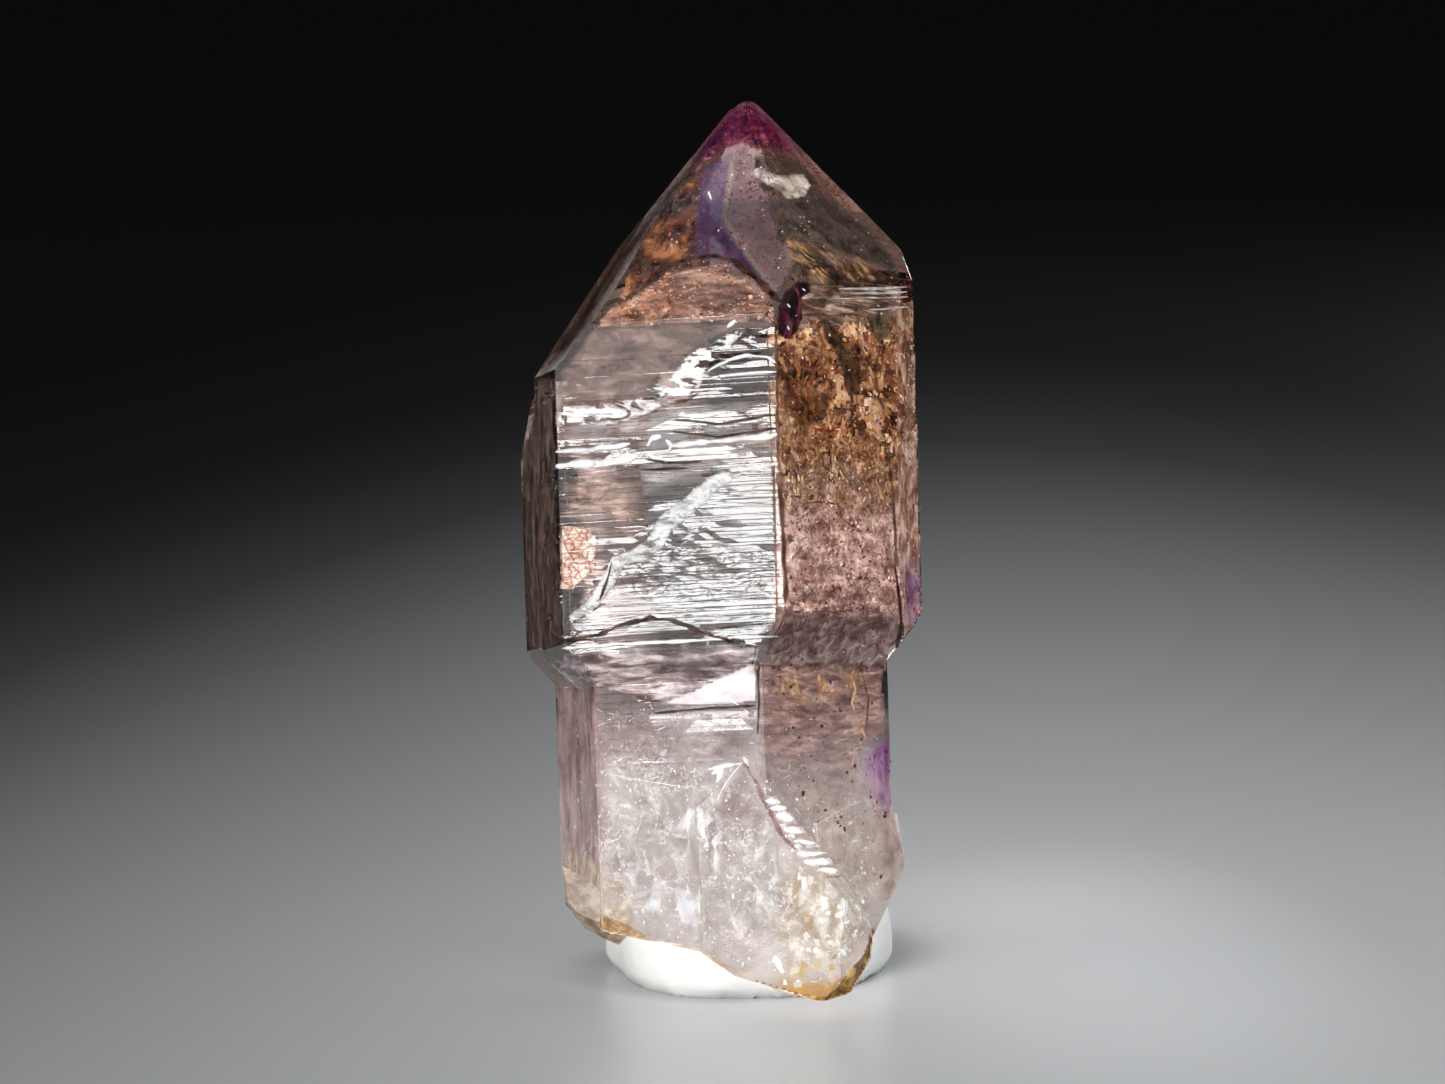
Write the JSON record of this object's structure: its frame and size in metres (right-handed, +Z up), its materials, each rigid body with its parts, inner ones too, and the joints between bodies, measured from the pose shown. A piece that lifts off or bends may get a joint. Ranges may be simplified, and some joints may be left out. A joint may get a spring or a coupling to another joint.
{
  "type": "amethyst crystal",
  "caption": "Smoky amethyst sceptre crystal with a wide pointed head on a narrower stem, standing in a pressed lump of white display putty.",
  "frame": {"origin": "middle of the bounding box's bottom, on the surface that the putty rests on", "axes": "+Z up, along the specimen's height; -Y towards the viewer, where the broad striated face looks; +X to the viewer's right"},
  "size_m": [0.0204, 0.0246, 0.0439],
  "materials": {
    "amethyst": "clear smoky violet quartz, polished flat faces, milky towards the broken base",
    "putty": "matt, soft white putty"
  },
  "bodies": {
    "root": {"crystal": "amethyst", "display_putty": "putty"}
  },
  "joints": []
}
